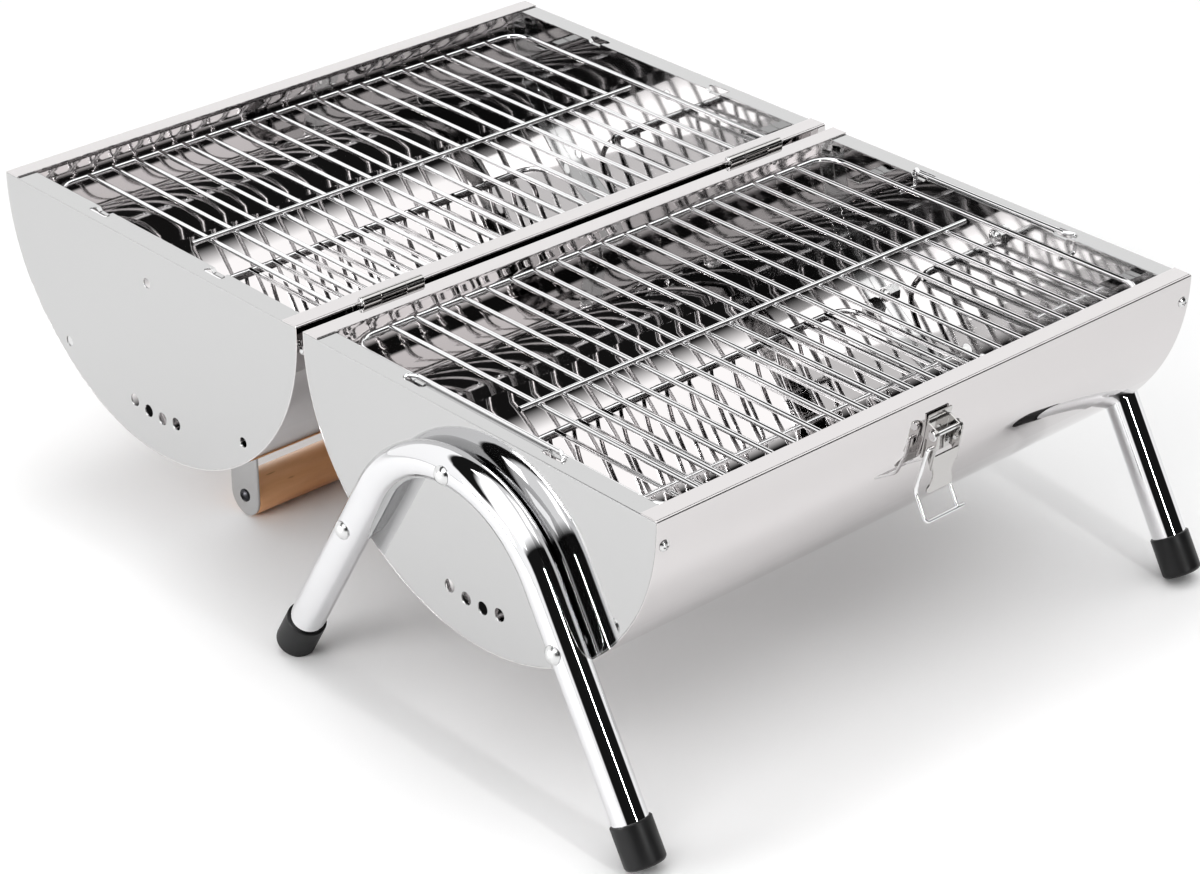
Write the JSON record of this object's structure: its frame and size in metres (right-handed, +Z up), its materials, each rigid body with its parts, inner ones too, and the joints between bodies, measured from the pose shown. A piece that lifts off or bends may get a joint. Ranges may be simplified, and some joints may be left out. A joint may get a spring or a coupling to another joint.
{
  "type": "folding barrel camp grill",
  "caption": "Tabletop barrel grill that folds open flat on its hinges into two troughs with wire grates, standing on bent tube legs and its wooden handle.",
  "frame": {"origin": "on the ground, in the middle of the opened grill's outline", "axes": "+X along the barrel, +Y from the standing base half to the hinged lid half, +Z up"},
  "size_m": [0.4686, 0.599, 0.2092],
  "materials": {
    "polished_steel": "mirror-polished stainless sheet",
    "satin_steel": "flat light grey stainless sheet, satin",
    "chrome_tube": "chromed steel tube",
    "chrome_wire": "chromed steel wire",
    "fastener_steel": "bright zinc-plated steel",
    "latch_steel": "bright plated steel",
    "black_rubber": "matt black rubber",
    "varnished_wood": "orange-brown varnished wood",
    "dark_screw": "blackened steel screw"
  },
  "bodies": {
    "base": {"base_shell": "polished_steel", "base_end_plate_left": "satin_steel", "base_end_plate_right": "satin_steel", "base_shell_screws": "fastener_steel", "leg_left": "chrome_tube", "leg_right": "chrome_tube", "foot_cap_left_front": "black_rubber", "foot_cap_left_rear": "black_rubber", "foot_cap_right_front": "black_rubber", "foot_cap_right_rear": "black_rubber", "leg_bolts_left": "fastener_steel", "leg_bolts_right": "fastener_steel", "leg_nuts": "fastener_steel", "grate_hanger_left": "chrome_wire", "grate_hanger_right": "chrome_wire", "hinge_leaf_base_left": "latch_steel", "hinge_leaf_base_right": "latch_steel", "hinge_pin_left": "fastener_steel", "hinge_pin_right": "fastener_steel", "hinge_rivets_base": "fastener_steel", "latch_bracket": "latch_steel", "latch_bracket_rivets": "fastener_steel", "latch_pin": "fastener_steel"},
    "lid": {"lid_shell": "polished_steel", "lid_end_plate_left": "satin_steel", "lid_end_plate_right": "satin_steel", "lid_shell_screws": "fastener_steel", "hinge_leaf_lid_left": "latch_steel", "hinge_leaf_lid_right": "latch_steel", "hinge_rivets_lid": "fastener_steel", "handle_strap_left": "satin_steel", "handle_strap_right": "satin_steel", "handle_rod": "varnished_wood", "handle_screws": "dark_screw", "handle_strap_rivets": "fastener_steel", "latch_keeper": "latch_steel", "latch_keeper_rivets": "fastener_steel"},
    "base_cooking_grate_body": {"base_cooking_grate": "chrome_wire"},
    "base_charcoal_grate_body": {"base_charcoal_grate": "chrome_wire"},
    "lid_cooking_grate_body": {"lid_cooking_grate": "chrome_wire"},
    "lid_charcoal_grate_body": {"lid_charcoal_grate": "chrome_wire"},
    "latch_lever_body": {"latch_lever": "latch_steel"},
    "latch_bail_body": {"latch_bail": "chrome_wire"}
  },
  "joints": [
    {"name": "lid_hinge", "type": "hinge", "parent": "base", "child": "lid", "pos_m": [0, 0.00479, 0.2065], "axis": [1, 0, 0], "range_deg": [0, 180]},
    {"name": "latch_lever_hinge", "type": "hinge", "parent": "base", "child": "latch_lever_body", "pos_m": [-0.002, -0.28963, 0.18278], "axis": [1, 0, 0], "range_deg": [-150, 0]},
    {"name": "latch_bail_hinge", "type": "hinge", "parent": "latch_lever_body", "child": "latch_bail_body", "pos_m": [-0.002, -0.28875, 0.17492], "axis": [-1, 0, 0], "range_deg": [0, 180]},
    {"name": "base_cooking_grate_lift", "type": "slide", "parent": "base", "child": "base_cooking_grate_body", "axis": [0, 0, -1], "range_m": [-0.15, 0]},
    {"name": "base_charcoal_grate_lift", "type": "slide", "parent": "base", "child": "base_charcoal_grate_body", "axis": [0, 0, -1], "range_m": [-0.12, 0]},
    {"name": "lid_cooking_grate_lift", "type": "slide", "parent": "lid", "child": "lid_cooking_grate_body", "axis": [0, 0, -1], "range_m": [-0.15, 0]},
    {"name": "lid_charcoal_grate_lift", "type": "slide", "parent": "lid", "child": "lid_charcoal_grate_body", "axis": [0, 0, -1], "range_m": [-0.12, 0]}
  ],
  "couplings": [
    {"joint": "base_charcoal_grate_lift", "follows": "base_cooking_grate_lift", "ratio": 0.8},
    {"joint": "lid_charcoal_grate_lift", "follows": "lid_cooking_grate_lift", "ratio": 0.8}
  ]
}
